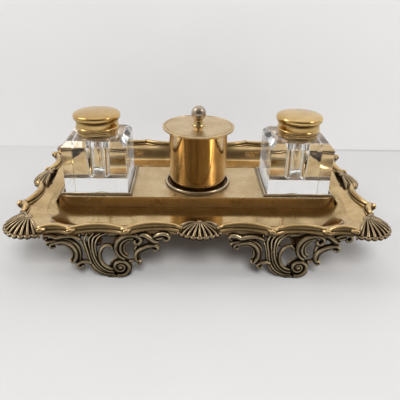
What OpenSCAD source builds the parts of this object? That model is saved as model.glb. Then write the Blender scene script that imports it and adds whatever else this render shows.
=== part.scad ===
// Desk inkstand: a footed brass tray with two cut-glass inkwells and a lidded pot.
// Millimetres, +Z up, origin on the table under the middle of the tray, front towards -Y.

/* [Tray] */
// Length over the shells at the two ends
overall_l = 279; // [268:1:290]
// Width over the shells at the front and back
overall_w = 188; // [180:1:196]
// Height of the pen trough floor above the table
floor_z = 30.8; // [29:0.2:32]
// Height of the raised platform above the table
platform_z = 40; // [39:0.2:41]
// Width of the raised platform, front to back
platform_w = 61; // [59:0.5:64]
// Thickness of the sheet brass
sheet_t = 2; // [1.6:0.1:2]
// Width of the moulded rim
rim_w = 5.6; // [4.6:0.2:6]
// Height of the moulded rim
rim_h = 4.2; // [3:0.2:5]

/* [Shells] */
// Radius of the corner shells
corner_shell_r = 18; // [16:0.5:18]
// Radius of the shells at the middle of the front and back
front_shell_r = 14; // [12:0.5:14]
// Radius of the shells at the middle of the ends
end_shell_r = 12.5; // [11:0.5:12.5]
// Thickness of a shell
shell_t = 3; // [2:0.2:3.4]

/* [Feet] */
// Sideways distance of each foot from the middle
foot_x = 65; // [62:0.5:66]
// Distance from the middle to the back face of a foot
foot_back_y = 80; // [79.6:0.2:80.6]
// Thickness of a foot casting
foot_t = 5; // [4:0.2:6]

/* [Inkwells] */
// Distance of each inkwell from the middle
well_x = 81.8; // [79:0.2:83]
// Side of the square glass block
glass_w = 50; // [48:0.5:50]
// Height of the glass block
glass_h = 43.1; // [41:0.1:45]
// Width of the bevel round the top of the glass
glass_bevel = 4; // [2:0.5:5]
// Radius of the drilled reservoir at its mouth
reservoir_r = 10.5; // [10.5:0.1:12]
// Largest opening angle of an inkwell lid
lid_open = 105; // [60:5:105]

/* [Pot] */
// Outer radius of the pot
pot_r = 23.85; // [22:0.05:24]
// Height of the pot without its lid
pot_h = 48; // [40:1:50]
// Radius of the lid's brim
brim_r = 29.3; // [26:0.1:30]
// Radius of the ball on the lid
ball_r = 6; // [4:0.5:7]

/* [Hidden] */
$fn = 64;
brass = "#b8924a";
dark_brass = "#7a6238";
satin_brass = "#bf9c60";
glass = "#dfe8e6";

// Heights of the tray
flange_z = platform_z + 2;
under_z = floor_z - sheet_t;
rim_top_z = flange_z + rim_h;

// Outline of the tray: half length and half width where the rim pulls in between its points
side_x = overall_l / 2 - 7.5;
front_y = overall_w / 2 - 8;
front_root = [0, -(overall_w / 2 - front_shell_r)];
end_root = [overall_l / 2 - end_shell_r, 0];
corner_root = [overall_l / 2 - 19.5, -(overall_w / 2 - 19)];
// First and last direction of a corner shell's fan
corner_from = -124;
corner_to = 49;

function polar(r, a) = [r * cos(a), r * sin(a)];
function unit(v) = v / norm(v);
// Points from a to b along an arc that pulls in to the left of the line by sag
function arc(a, b, sag, n = 6) =
  let (d = b - a, side = unit([-d[1], d[0]]))
  [for (i = [0 : n - 1]) let (s = i / n) a + d * s + side * 4 * sag * s * (1 - s)];

front_start = [front_shell_r + 0.3, -front_y - 0.5];
cusp_1 = [51, -front_y - 5];
cusp_2 = [89.5, -front_y - 5];
corner_a = corner_root + polar(corner_shell_r, corner_from);
corner_b = corner_root + polar(corner_shell_r, corner_to);
side_cusp = [side_x + 4.5, -50];
side_end = [side_x + 1, -end_shell_r - 0.5];

front_edge = concat(arc(front_start, cusp_1, 5), arc(cusp_1, cusp_2, 5), arc(cusp_2, corner_a, 3, 4),
                    [corner_a]);
side_edge = concat(arc(corner_b, side_cusp, 1, 3), arc(side_cusp, side_end, 3), [side_end]);
corner_edge = [for (a = [corner_from + 24 : 25 : corner_to - 24]) corner_root + polar(13, a)];
quarter = concat(front_edge, corner_edge, side_edge);

function flip_x(pts) = [for (i = [len(pts) - 1 : -1 : 0]) [-pts[i][0], pts[i][1]]];
function flip_y(pts) = [for (i = [len(pts) - 1 : -1 : 0]) [pts[i][0], -pts[i][1]]];
front_half = concat(flip_x(quarter), quarter);
outline = concat(front_half, flip_y(front_half));

// The same outline moved inwards by d along the normal of each point
function inset(pts, d, closed = true) =
  let (n = len(pts))
  [for (i = [0 : n - 1])
    let (a = pts[closed ? (i + n - 1) % n : max(i - 1, 0)],
         b = pts[closed ? (i + 1) % n : min(i + 1, n - 1)], t = unit(b - a))
    pts[i] + d * [-t[1], t[0]]];

// Floor of the dish, a rounded oblong, and the window under the platform
floor_half = [102, 70];
window_half = [98, 27];
function onto_floor(p) =
  let (u = p[0] / floor_half[0], v = p[1] / floor_half[1]) p / pow(pow(u, 6) + pow(v, 6), 1 / 6);
function onto_window(p) = p / max(abs(p[0]) / window_half[0], abs(p[1]) / window_half[1]);

// Section of the dish: share of the way from the rim to the floor, and height
dish_top = [[0, flange_z], [0.2, flange_z - 0.7], [0.42, flange_z - 1.7], [0.6, floor_z + 7.2],
            [0.75, floor_z + 4], [0.88, floor_z + 1.2], [1, floor_z]];
rim_outer = inset(outline, 0.8);
// Where the flange turns down into the dish: it runs straighter than the outer edge
turn_half = [128, 80.5];
function held(v, most) = max(-most, min(most, v));
rim_inner = [for (p = inset(outline, rim_w + 0.6)) [held(p[0], turn_half[0]), held(p[1], turn_half[1])]];
floor_edge = [for (p = rim_inner) onto_floor(p)];
function layer(pts, z) = [for (p = pts) [p[0], p[1], z]];
function between(share) = [for (i = [0 : len(outline) - 1]) rim_inner[i] * (1 - share) + floor_edge[i] * share];
function under(s) = [s[0] + (s[0] > 0 && s[0] < 1 ? 0.06 : 0), s[1] - sheet_t];
dish_under = [for (i = [len(dish_top) - 1 : -1 : 0]) under(dish_top[i])];
dish_rings = concat(
  [layer(rim_outer, flange_z)],
  [for (s = dish_top) layer(between(s[0]), s[1])],
  [layer([for (p = floor_edge) onto_window(p)], floor_z)],
  [layer([for (p = floor_edge) onto_window(p)], under_z)],
  [for (s = dish_under) layer(between(s[0]), s[1])],
  [layer(rim_outer, flange_z - sheet_t)]);

// A closed loop of rings, each with the same number of points
module ring_skin(rings) {
  n = len(rings[0]);
  m = len(rings);
  points = [for (r = rings) for (p = r) p];
  faces = [for (j = [0 : m - 1]) for (i = [0 : n - 1])
    let (a = j * n + i, b = j * n + (i + 1) % n, c = ((j + 1) % m) * n + (i + 1) % n, d = ((j + 1) % m) * n + i)
    for (f = [[a, d, b], [b, d, c]]) f];
  polyhedron(points = points, faces = faces);
}

// Screws that hold the feet, two to a foot
screw_r = 1.5;
screw_head_r = 2.8;
screw_y = 61.5;
screw_depth = 1.4;
lug_t = 2.6;
lug_w = 8;
lug_u = [-9.5, 7];
module at_screws() {
  for (sx = [-1, 1]) for (sy = [-1, 1]) for (u = lug_u)
    translate([sx * foot_x - sy * u, sy * screw_y, 0]) children();
}

module tray_dish() {
  color(brass) difference() {
    ring_skin(dish_rings);
    at_screws() translate([0, 0, under_z - 1]) cylinder(r = screw_r, h = 1 + screw_depth, $fn = 24);
  }
}

// Raised platform: a plate with a step down to the trough at the front and back
module platform() {
  end_x = 111.4;
  wall_end = [[100.6, floor_z], [104, floor_z + 1.4], [107.2, floor_z + 4.4], [110.4, platform_z - sheet_t]];
  half = concat([[0, floor_z]], wall_end, [[end_x, platform_z - sheet_t], [end_x, platform_z], [0, platform_z]]);
  color(satin_brass) {
    for (s = [-1, 1]) translate([0, s * (platform_w - sheet_t) / 2, 0]) rotate([90, 0, 0])
      linear_extrude(sheet_t, center = true) union() { polygon(half); mirror([1, 0]) polygon(half); }
    translate([-end_x, -platform_w / 2 + sheet_t / 2, platform_z - sheet_t])
      cube([2 * end_x, platform_w - sheet_t, sheet_t]);
  }
}

// Moulded rim between two shells, along a stretch of the outline. Its two ends are cut along
// the lines from the outline's end points to first_in and last_in.
module rim_strip(edge, first_in, last_in) {
  n = len(edge);
  function line_at(share) = let (mid = inset(edge, rim_w * share, false))
    concat([edge[0] + (first_in - edge[0]) * share], [for (i = [1 : n - 2]) mid[i]],
           [edge[n - 1] + (last_in - edge[n - 1]) * share]);
  function band(from, to) = let (back = line_at(to)) concat(line_at(from), [for (i = [n - 1 : -1 : 0]) back[i]]);
  color(brass) translate([0, 0, flange_z]) {
    linear_extrude(rim_h * 0.55) polygon(band(0, 1));
    linear_extrude(rim_h) polygon(band(0.2, 0.8));
  }
}
module front_rim() {
  rim_strip(front_edge, front_start + [0, rim_w], corner_a + polar(rim_w, corner_from + 180));
}
module side_rim() {
  rim_strip(side_edge, corner_b + polar(rim_w, corner_to + 180), side_end - [rim_w, 0]);
}

// A shell: a fan of ribs that spread from a round boss, with a lobed outer edge
module shell(r, from, to, ribs) {
  step = (to - from) / ribs;
  function edge_r(a) = r * (0.94 + 0.06 * abs(sin((a - from) / step * 180)));
  color(dark_brass) translate([0, 0, flange_z]) {
    linear_extrude(shell_t) polygon(concat([[0, 0]],
      [for (i = [0 : ribs * 4]) let (a = from + i * step / 4) polar(edge_r(a), a)]));
    for (i = [0 : ribs - 1]) rotate([0, 0, from + (i + 0.5) * step])
      linear_extrude(shell_t + 1) polygon([[2, -0.3], [r - 1.2, -r * 0.07], [r - 1.2, r * 0.07], [2, 0.3]]);
    cylinder(r = r * 0.22, h = shell_t + 1.4, $fn = 24);
  }
}
module corner_shell() {
  translate(corner_root) shell(corner_shell_r, corner_from + 1, corner_to - 1, 9);
}
module front_shell() {
  translate(front_root) shell(front_shell_r, -180, 0, 9);
}
module end_shell() {
  translate(end_root) shell(end_shell_r, -90, 90, 7);
}

// One foot, front face towards -Y, drawn round its own middle
module scroll(centre, r, w, from, to, n = 10) {
  translate(centre) polygon(concat(
    [for (i = [0 : n]) polar(r + w / 2, from + (to - from) * i / n)],
    [for (i = [n : -1 : 0]) polar(r - w / 2, from + (to - from) * i / n)]));
}
module foot_outline() {
  scroll([6, 24], 17, 8.4, 132, 264);
  scroll([-31.5, 21.5], 9.7, 3.6, -48, 150);
  scroll([-31.5, 21.5], 13.6, 4.4, 8, 96, 6);
  scroll([15, 27.3], 8.4, 3.8, 0, 262);
  scroll([32, 15.5], 12.2, 3.6, 66, 186);
  scroll([3.5, 17], 8.6, 3.4, 50, 205, 8);
  translate([8, 8.4]) circle(r = 8.2, $fn = 48);
  translate([-1.5, 0]) square([10, 4]);
  translate([-3.4, 2]) square([6, 6]);
  translate([-20.5, 12.4]) circle(r = 2.6, $fn = 24);
  translate([-20.5, 11.4]) square([10, 2.4]);
  translate([-40, 33.8]) square([81, 3.6]);
  translate([14, 12.6]) square([8, 3]);
  translate([-41.5, 35.4]) circle(r = 2.8, $fn = 24);
  translate([41.6, 35.6]) circle(r = 2.8, $fn = 24);
}
module foot() {
  color(dark_brass) difference() {
    union() {
      translate([0, -foot_back_y, 0]) rotate([90, 0, 0]) linear_extrude(foot_t) foot_outline();
      for (u = lug_u) translate([u - lug_w / 2, -foot_back_y - 1, under_z - lug_t])
        cube([lug_w, foot_back_y + 1 - screw_y + 4, lug_t]);
    }
    for (u = lug_u) translate([u, -screw_y, under_z - lug_t - 1]) cylinder(r = screw_r, h = lug_t + 2, $fn = 24);
  }
}
module front_foot(side) {
  translate([side * foot_x, 0, 0]) foot();
}
module back_foot(side) {
  rotate([0, 0, 180]) front_foot(-side);
}
module foot_screws() {
  color(dark_brass) at_screws() {
    translate([0, 0, under_z - lug_t]) cylinder(r = screw_r, h = lug_t + screw_depth, $fn = 24);
    translate([0, 0, under_z - lug_t - 1.8]) cylinder(r = screw_head_r, h = 1.8, $fn = 24);
  }
}

// Square gallery that holds a glass block, and the ring that holds the pot
frame_gap = 0.5;
frame_t = 3.2;
frame_h = 2;
module well_frame(side) {
  inner = glass_w + 2 * frame_gap;
  outer = inner + 2 * frame_t;
  color(brass) translate([side * well_x, 0, platform_z]) difference() {
    union() {
      translate([-outer / 2, -outer / 2, 0]) cube([outer, outer, frame_h * 0.6]);
      translate([-outer / 2 + 0.7, -outer / 2 + 0.7, 0]) cube([outer - 1.4, outer - 1.4, frame_h]);
    }
    translate([-inner / 2, -inner / 2, -1]) cube([inner, inner, frame_h + 2]);
  }
}
ring_gap = 1.35;
module pot_ring() {
  bore = pot_r + ring_gap;
  color(brass) rotate_extrude($fn = 96) translate([bore, platform_z]) union() {
    square([2.2, 1.5]);
    translate([0.25, 0]) square([1.5, 2.2]);
    translate([1, 1.5]) circle(r = 1, $fn = 24);
  }
}

// Glass block: bevelled round the top, with a drilled reservoir that narrows downwards
lift = 0.1;
glass_z = platform_z + lift;
glass_top = glass_z + glass_h;
reservoir_floor_z = 48;
reservoir_foot_r = reservoir_r - 1.5;
module bevelled_prism() {
  h = glass_w / 2;
  rotate([90, 0, 0]) linear_extrude(glass_w, center = true)
    polygon([[-h, 0], [h, 0], [h, glass_h - glass_bevel], [h - glass_bevel, glass_h],
             [glass_bevel - h, glass_h], [-h, glass_h - glass_bevel]]);
}
module glass_block(side) {
  corner = 3;
  color(glass) translate([side * well_x, 0, 0]) difference() {
    translate([0, 0, glass_z]) intersection() {
      bevelled_prism();
      rotate([0, 0, 90]) bevelled_prism();
    }
    rotate_extrude($fn = 64) polygon(concat(
      [[0, reservoir_floor_z]],
      [for (a = [-90 : 18 : 0]) [reservoir_foot_r - corner, reservoir_floor_z + corner] + polar(corner, a)],
      [[reservoir_r, glass_top], [reservoir_r, glass_top + 1], [0, glass_top + 1]]));
  }
}

// Collar cemented on the glass, with a sleeve in the mouth and two hinge ears behind
seam_z = glass_top + 4.8;
collar_r = 16.5;
mouth_r = 8.5;
sleeve_gap = 0.2;
sleeve_l = 6;
hinge_y = collar_r + 2.9;
hinge_z = seam_z;
knuckle_r = 2.1;
pin_r = 1;
pin_gap = 0.05;
knuckle_w = 8;
ear_w = 4;
ear_gap = 0.3;
module at_hinge(side, x = 0) {
  translate([side * well_x + x, hinge_y, hinge_z]) rotate([0, 90, 0]) children();
}
module collar(side) {
  color(brass) difference() {
    union() {
      translate([side * well_x, 0, 0]) rotate_extrude($fn = 96) union() {
        translate([mouth_r, glass_top]) square([collar_r - mouth_r, seam_z - glass_top]);
        translate([mouth_r, glass_top - sleeve_l]) square([reservoir_r - 0.3 - sleeve_gap - mouth_r, sleeve_l + 1]);
      }
      for (s = [-1, 1]) {
        x = s * (knuckle_w / 2 + ear_gap + ear_w / 2);
        at_hinge(side, x) cylinder(r = knuckle_r, h = ear_w, center = true, $fn = 32);
        translate([side * well_x + x - ear_w / 2, 14, glass_top + 1.4]) cube([ear_w, 5.4, 1.8]);
      }
    }
    at_hinge(side) cylinder(r = pin_r, h = 40, center = true, $fn = 32);
    // Room for the lid's knuckle between the ears
    at_hinge(side) cylinder(r = knuckle_r + 0.4, h = knuckle_w + 2 * ear_gap, center = true, $fn = 32);
  }
}
module hinge_pin(side) {
  color(dark_brass) at_hinge(side)
    cylinder(r = pin_r, h = knuckle_w + 2 * ear_gap + 2 * ear_w, center = true, $fn = 32);
}

// Hinged lid: a turned hollow cap with a bead, a band, a groove and an overhanging rim
lid_gap = 0.1;
band_r = 16.9;
cap_r = 18.8;
lid_h = 13.3;
module lid(side) {
  z0 = seam_z + lid_gap;
  wall_r = band_r - 2;
  profile = [[wall_r, 0], [band_r + 0.3, 0], [band_r + 0.5, 0.9], [band_r, 1.8], [band_r, 6.6],
             [band_r - 0.7, 7], [band_r - 0.4, 7.4], [cap_r - 0.6, 7.6], [cap_r, 8.4], [cap_r, 10.8],
             [cap_r - 0.7, 11.8], [cap_r - 3, 12.3], [cap_r * 0.5, lid_h - 0.4], [0, lid_h],
             [0, lid_h - 1.8], [wall_r, lid_h - 2.8]];
  color(brass) difference() {
    union() {
      translate([side * well_x, 0, z0]) rotate_extrude($fn = 96) polygon(profile);
      at_hinge(side) cylinder(r = knuckle_r, h = knuckle_w, center = true, $fn = 32);
      translate([side * well_x - knuckle_w / 2, band_r - 1.6, z0 + 0.4]) cube([knuckle_w, hinge_y - band_r + 1.6, 1.6]);
    }
    at_hinge(side) cylinder(r = pin_r + pin_gap, h = knuckle_w + 1, center = true, $fn = 32);
    translate([side * well_x, 0, z0 - 1]) cylinder(r = wall_r, h = 4, $fn = 96);
  }
}

// Central pot, its soldered floor and its lift-off lid
pot_t = 1.6;
pot_z = platform_z + lift;
pot_top = pot_z + pot_h;
pot_floor_t = 2;
module pot_body() {
  color(brass) rotate_extrude($fn = 96) translate([0, pot_z]) union() {
    translate([pot_r - pot_t, 0]) square([pot_t, pot_h]);
    translate([pot_r - pot_t / 2, pot_h - 2.4]) square([pot_t / 2 + 0.7, 2.4]);
  }
}
module pot_floor() {
  color(brass) translate([0, 0, pot_z + 0.4]) cylinder(r = pot_r - pot_t, h = pot_floor_t, $fn = 96);
}
brim_z = pot_top + lift;
brim_t = 2;
spigot_r = pot_r - pot_t - 0.35;
spigot_t = 1.6;
stud_r = 2;
module pot_lid() {
  color(brass) difference() {
    rotate_extrude($fn = 96) union() {
      translate([0, brim_z]) polygon([[0, 0], [brim_r - 0.6, 0], [brim_r, 0.6], [brim_r, brim_t - 0.6],
                                     [brim_r - 0.6, brim_t], [0, brim_t]]);
      translate([spigot_r - spigot_t, brim_z - 6]) square([spigot_t, 6.5]);
    }
    cylinder(r = stud_r, h = 200, $fn = 32);
  }
}
stem_h = 6;
ball_z = brim_z + brim_t + 10.1;
module finial_stem() {
  z = brim_z + brim_t;
  color(dark_brass) difference() {
    union() {
      translate([0, 0, z]) rotate_extrude($fn = 48) polygon([[0, 0], [5.2, 0], [4.4, 1.4], [3.1, 2.6], [3, 4.4],
                                                             [3.7, stem_h - 0.6], [3.4, stem_h], [0, stem_h]]);
      translate([0, 0, brim_z - 1.6]) cylinder(r = stud_r, h = brim_t + 1.7, $fn = 32);
    }
    translate([0, 0, ball_z]) sphere(r = ball_r, $fn = 48);
  }
}
module finial_ball() {
  color("#6b4d24") translate([0, 0, ball_z]) sphere(r = ball_r, $fn = 48);
}

tray_dish();
platform();
mirror([1, 0, 0]) front_rim();  // rim_front_left
front_rim();  // rim_front_right
rotate([0, 0, 180]) front_rim();  // rim_back_left
mirror([0, 1, 0]) front_rim();  // rim_back_right
mirror([1, 0, 0]) side_rim();  // rim_left_front
rotate([0, 0, 180]) side_rim();  // rim_left_back
side_rim();  // rim_right_front
mirror([0, 1, 0]) side_rim();  // rim_right_back
mirror([1, 0, 0]) corner_shell();  // shell_front_left
corner_shell();  // shell_front_right
rotate([0, 0, 180]) corner_shell();  // shell_back_left
mirror([0, 1, 0]) corner_shell();  // shell_back_right
front_shell();  // shell_front
rotate([0, 0, 180]) front_shell();  // shell_back
rotate([0, 0, 180]) end_shell();  // shell_left
end_shell();  // shell_right
front_foot(-1);  // foot_front_left
front_foot(1);  // foot_front_right
back_foot(-1);  // foot_back_left
back_foot(1);  // foot_back_right
foot_screws();
well_frame(-1);  // well_frame_left
well_frame(1);  // well_frame_right
pot_ring();
glass_block(-1);  // glass_block_left
glass_block(1);  // glass_block_right
collar(-1);  // collar_left
collar(1);  // collar_right
hinge_pin(-1);  // hinge_pin_left
hinge_pin(1);  // hinge_pin_right
lid(-1);  // lid_left
lid(1);  // lid_right
pot_body();
pot_floor();
pot_lid();
finial_stem();
finial_ball();
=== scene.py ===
# A footed brass desk inkstand with two cut-glass inkwells and a lidded pot. Metres, +Z up, the
# front towards -Y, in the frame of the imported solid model.
import math

import bpy
from mathutils import Matrix, Vector


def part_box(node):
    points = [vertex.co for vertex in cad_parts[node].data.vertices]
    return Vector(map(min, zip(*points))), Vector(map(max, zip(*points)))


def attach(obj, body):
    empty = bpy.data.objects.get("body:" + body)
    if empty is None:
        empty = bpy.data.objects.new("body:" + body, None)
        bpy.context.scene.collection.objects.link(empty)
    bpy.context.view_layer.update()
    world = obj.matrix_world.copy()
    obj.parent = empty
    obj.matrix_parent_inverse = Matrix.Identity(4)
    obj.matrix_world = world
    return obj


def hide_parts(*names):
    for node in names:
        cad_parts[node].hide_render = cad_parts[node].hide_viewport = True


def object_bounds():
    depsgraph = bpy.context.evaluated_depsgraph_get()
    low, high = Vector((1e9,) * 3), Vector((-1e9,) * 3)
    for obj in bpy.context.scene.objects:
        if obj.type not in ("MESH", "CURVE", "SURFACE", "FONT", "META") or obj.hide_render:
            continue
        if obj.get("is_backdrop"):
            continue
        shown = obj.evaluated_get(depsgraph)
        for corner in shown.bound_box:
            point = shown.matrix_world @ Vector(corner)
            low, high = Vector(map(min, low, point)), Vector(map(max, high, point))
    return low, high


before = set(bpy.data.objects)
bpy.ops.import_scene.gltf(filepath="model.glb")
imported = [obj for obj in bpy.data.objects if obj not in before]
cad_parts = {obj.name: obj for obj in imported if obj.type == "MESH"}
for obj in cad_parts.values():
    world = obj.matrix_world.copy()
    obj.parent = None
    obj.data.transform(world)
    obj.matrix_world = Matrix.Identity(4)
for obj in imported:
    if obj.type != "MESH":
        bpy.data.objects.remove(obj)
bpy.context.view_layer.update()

mm = 0.001

# ---------------------------------------------------------------------------------------------
# The viewer sits at the desk, a little left of the middle, and looks down on the tray.
# ---------------------------------------------------------------------------------------------
bpy.ops.object.camera_add(location=(-8.9 * mm, -356.5 * mm, 207.6 * mm))
eye = bpy.context.object
eye.name = "eye"
look_right, look_down, head_tilt = map(math.radians, (1.84, 27.54, 1.29))
eye.matrix_world = (
    Matrix.Translation(eye.location)
    @ Matrix.Rotation(-look_right, 4, "Z")
    @ Matrix.Rotation(math.pi / 2 - look_down, 4, "X")
    @ Matrix.Rotation(head_tilt, 4, "Z")
)
eye.data.sensor_width = 36
eye.data.lens = 41.0
eye.data.clip_start = 0.01
bpy.context.scene.camera = eye

# ---------------------------------------------------------------------------------------------
# The desk and the pale wall behind it: one sheet of board, bent up in a small round. It shows
# from its front side only, so that the inkstand can be walked round.
# ---------------------------------------------------------------------------------------------
def deselect():
    bpy.ops.object.select_all(action="DESELECT")


def alone(piece):
    """Leave only this piece selected, as the active one."""
    deselect()
    piece.select_set(True)
    bpy.context.view_layer.objects.active = piece


def open_mesh():
    """Open the active piece for editing, with all of it selected."""
    bpy.ops.object.mode_set(mode="EDIT")
    bpy.ops.mesh.select_all(action="SELECT")


def close_mesh():
    bpy.ops.object.mode_set(mode="OBJECT")


def pick_edges(piece, wanted):
    """Open the piece for editing with just the edges selected whose two ends are wanted."""
    alone(piece)
    open_mesh()
    bpy.ops.mesh.select_mode(type="EDGE")
    bpy.ops.mesh.select_all(action="DESELECT")
    close_mesh()
    for edge in piece.data.edges:
        edge.select = all(wanted(piece.data.vertices[v].co) for v in edge.vertices)
    bpy.ops.object.mode_set(mode="EDIT")


def feed(socket, value):
    """Give an input a fixed value, or join it to the output of another node."""
    if hasattr(value, "is_output"):
        socket.id_data.links.new(value, socket)
    else:
        socket.default_value = value


def node(tree, kind, settings=None, **inputs):
    """A new node. Its inputs are given by name, or by place as i0, i1 and i2."""
    made = tree.nodes.new("ShaderNode" + kind)
    for key, value in (settings or {}).items():
        setattr(made, key, value)
    for key, value in inputs.items():
        feed(made.inputs[int(key[1:]) if key[1:].isdigit() else key], value)
    return made


def remap(tree, value, low, high, to_low, to_high):
    """The value with low to high spread over to_low to to_high, and held there beyond them."""
    made = node(tree, "MapRange", Value=value)
    for name, number in zip(("From Min", "From Max", "To Min", "To Max"), (low, high, to_low, to_high)):
        made.inputs[name].default_value = number
    return made.outputs["Result"]


def maths(tree, operation, *values):
    made = node(tree, "Math", {"operation": operation}, **{f"i{i}": v for i, v in enumerate(values)})
    return made.outputs["Value"]


def scaled(tree, colour, by):
    return node(tree, "VectorMath", {"operation": "SCALE"}, i0=colour, Scale=by).outputs["Vector"]


def ramp(tree, value, stops):
    """A colour for the value, from the colours set at stops along the way."""
    made = node(tree, "ValToRGB", Fac=value)
    elements = made.color_ramp.elements
    first, *between, last = stops
    for element, at in zip(elements, (first, last)):
        element.position = at
        element.color = (*stops[at], 1)
    for at in between:
        elements.new(at).color = (*stops[at], 1)
    return made.outputs["Color"]


def blended(tree, share, a, b, way="MIX"):
    """Two colours mixed: a where the share is 0, b where it is 1."""
    made = node(tree, "Mix", {"data_type": "RGBA", "blend_type": way}, Factor=share, A=a, B=b)
    return made.outputs["Result"]


def new_material(name):
    material = bpy.data.materials.new(name)
    material.use_nodes = True
    return material, material.node_tree, material.node_tree.nodes["Principled BSDF"]


def board_material():
    """Matt white board, faintly mottled, a little lighter where it stands up as the wall."""
    material, tree, shader = new_material("matt white board")
    place = node(tree, "TexCoord").outputs["Object"]
    axis = node(tree, "SeparateXYZ", Vector=place)
    mottle = node(tree, "TexNoise", Vector=place, Scale=9.0, Detail=3.0)
    tone = ramp(tree, mottle.outputs["Fac"], {0.0: (0.60, 0.598, 0.596), 1.0: (0.64, 0.639, 0.638)})
    tone = scaled(tree, tone, remap(tree, axis.outputs["Z"], 0.5 * mm, 3 * mm, 1.0, 1.29))
    # Painted shadow: a thin grey line along the joint of desk and wall, fading to the left
    from_joint = maths(tree, "ABSOLUTE", maths(tree, "SUBTRACT", axis.outputs["Z"], 1.2 * mm))
    on_seam_shadow = remap(tree, from_joint, 0.6 * mm, 1.1 * mm, 1.0, 0.0)
    to_right = remap(tree, axis.outputs["X"], -60 * mm, 140 * mm, 0.0, 0.45)
    seam_shadow_share = maths(tree, "MULTIPLY", on_seam_shadow, to_right)
    feed(shader.inputs["Base Color"], blended(tree, seam_shadow_share, tone, (0.42, 0.41, 0.40, 1)))
    shader.inputs["Roughness"].default_value = 0.62
    shader.inputs["Specular IOR Level"].default_value = 0.25
    back_side = node(tree, "NewGeometry").outputs["Backfacing"]
    clear = node(tree, "BsdfTransparent").outputs["BSDF"]
    one_sided = node(tree, "MixShader", i0=back_side, i1=shader.outputs["BSDF"], i2=clear)
    feed(tree.nodes["Material Output"].inputs["Surface"], one_sided.outputs["Shader"])
    return material


wall_y = 178 * mm
board_half, wall_height, bend = 3, 0.7, 2 * mm
bpy.ops.mesh.primitive_plane_add(size=2 * board_half, location=(0, wall_y - board_half, 0))
board = bpy.context.object
board.name = "desk_and_wall"
bpy.ops.object.transform_apply(location=True)
pick_edges(board, lambda c: c.y > wall_y - mm)
bpy.ops.mesh.extrude_edges_move(TRANSFORM_OT_translate={"value": (0, 0, wall_height)})
close_mesh()
pick_edges(board, lambda c: c.y > wall_y - mm and c.z < mm)
bpy.ops.mesh.bevel(offset=bend, segments=4)
close_mesh()
bpy.ops.object.shade_smooth_by_angle(angle=math.radians(60))
board.data.materials.append(board_material())
board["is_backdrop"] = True

# ---------------------------------------------------------------------------------------------
# Plain studio light: one soft lamp overhead, one in front, a smaller one at each side, and a
# pale room that is dimmer where the viewer sits.
# ---------------------------------------------------------------------------------------------
def soft_lamp(name, at, aim, size, power, colour, mirrored=True):
    """A flat lamp turned to what it lights. One that isn't mirrored leaves no glare in the brass."""
    bpy.ops.object.light_add(type="AREA", location=at)
    lamp = bpy.context.object
    lamp.name = name
    lamp.data.shape = "RECTANGLE"
    lamp.data.size, lamp.data.size_y = size
    lamp.data.energy = power
    lamp.data.color = colour
    lamp.rotation_mode = "QUATERNION"
    lamp.rotation_quaternion = (Vector(aim) - Vector(at)).to_track_quat("-Z", "Y")
    lamp.visible_glossy = mirrored


on_tray, on_lids, warm = (0, 0, 0), (0, 0, 0.03), (1.0, 0.97, 0.92)
soft_lamp("lamp_overhead", (0.0, -0.12, 1.2), on_tray, (0.7, 0.7), 1.8, (1.0, 0.985, 0.97), mirrored=False)
soft_lamp("lamp_front", (0.05, -0.86, 0.92), on_tray, (0.42, 0.42), 9.6, (1.0, 0.99, 0.975), mirrored=False)
soft_lamp("lamp_left", (-0.75, 0.05, 0.85), on_lids, (0.28, 0.4), 1.7, warm)
soft_lamp("lamp_right", (0.75, -0.25, 0.85), on_lids, (0.22, 0.3), 1.2, warm)

room = bpy.data.worlds.new("pale room")
bpy.context.scene.world = room
room.use_nodes = True
air = room.node_tree
direction = node(air, "TexCoord").outputs["Generated"]
ray = node(air, "LightPath").outputs
# In the polished metal the room is dark where the viewer sits and a little to the right of that,
# and it pales towards the back. Each side has a faint glow of its own
from_dark = node(air, "VectorMath", {"operation": "DOT_PRODUCT"}, i0=direction, i1=(-0.12, 0.993, 0.0))
to_back = remap(air, from_dark.outputs["Value"], -1.0, 1.0, 0.0, 1.0)
room_tones = {
    0.04: (0.075, 0.062, 0.05),
    0.22: (0.23, 0.205, 0.17),
    0.36: (0.40, 0.38, 0.35),
    0.50: (0.66, 0.65, 0.63),
    0.68: (0.86, 0.86, 0.87),
}
aside = maths(air, "ABSOLUTE", node(air, "SeparateXYZ", i0=direction).outputs["X"])
side_glow = remap(air, aside, 0.35, 0.85, 0.0, 0.16)
mirrored_room = node(air, "VectorMath", i0=ramp(air, to_back, room_tones), i1=side_glow).outputs["Vector"]
# As plain light, looked at straight, or through the glass, it is even on all sides
in_glass, seen_straight = ray["Is Transmission Ray"], ray["Is Camera Ray"]
even_room = blended(air, in_glass, (0.36, 0.365, 0.378, 1), (0.80, 0.80, 0.80, 1))
even_room = blended(air, seen_straight, even_room, (0.78, 0.78, 0.79, 1))
only_metal = {"operation": "SUBTRACT", "use_clamp": True}
in_metal = node(air, "Math", only_metal, i0=ray["Is Glossy Ray"], i1=in_glass).outputs["Value"]
feed(air.nodes["Background"].inputs["Color"], blended(air, in_metal, even_room, mirrored_room))
bpy.context.scene.view_settings.view_transform = "Standard"
bpy.context.scene.cycles.max_bounces = 24
bpy.context.scene.cycles.glossy_bounces = 16
bpy.context.scene.cycles.transmission_bounces = 24

# ---------------------------------------------------------------------------------------------
# The tray: one dished sheet of brass with a wavy edge. A flat flange carries the rim, a short
# round shoulder drops to the pen troughs, and the sheet is open under the platform.
# ---------------------------------------------------------------------------------------------
def seal(piece, smooth_angle=40):
    """Merge what touches, turn all faces outwards, and shade the gentle bends smooth."""
    alone(piece)
    open_mesh()
    bpy.ops.mesh.remove_doubles(threshold=1e-6)
    bpy.ops.mesh.dissolve_degenerate(threshold=1e-7)
    bpy.ops.mesh.normals_make_consistent(inside=False)
    close_mesh()
    bpy.ops.object.shade_smooth_by_angle(angle=math.radians(smooth_angle))


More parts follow.
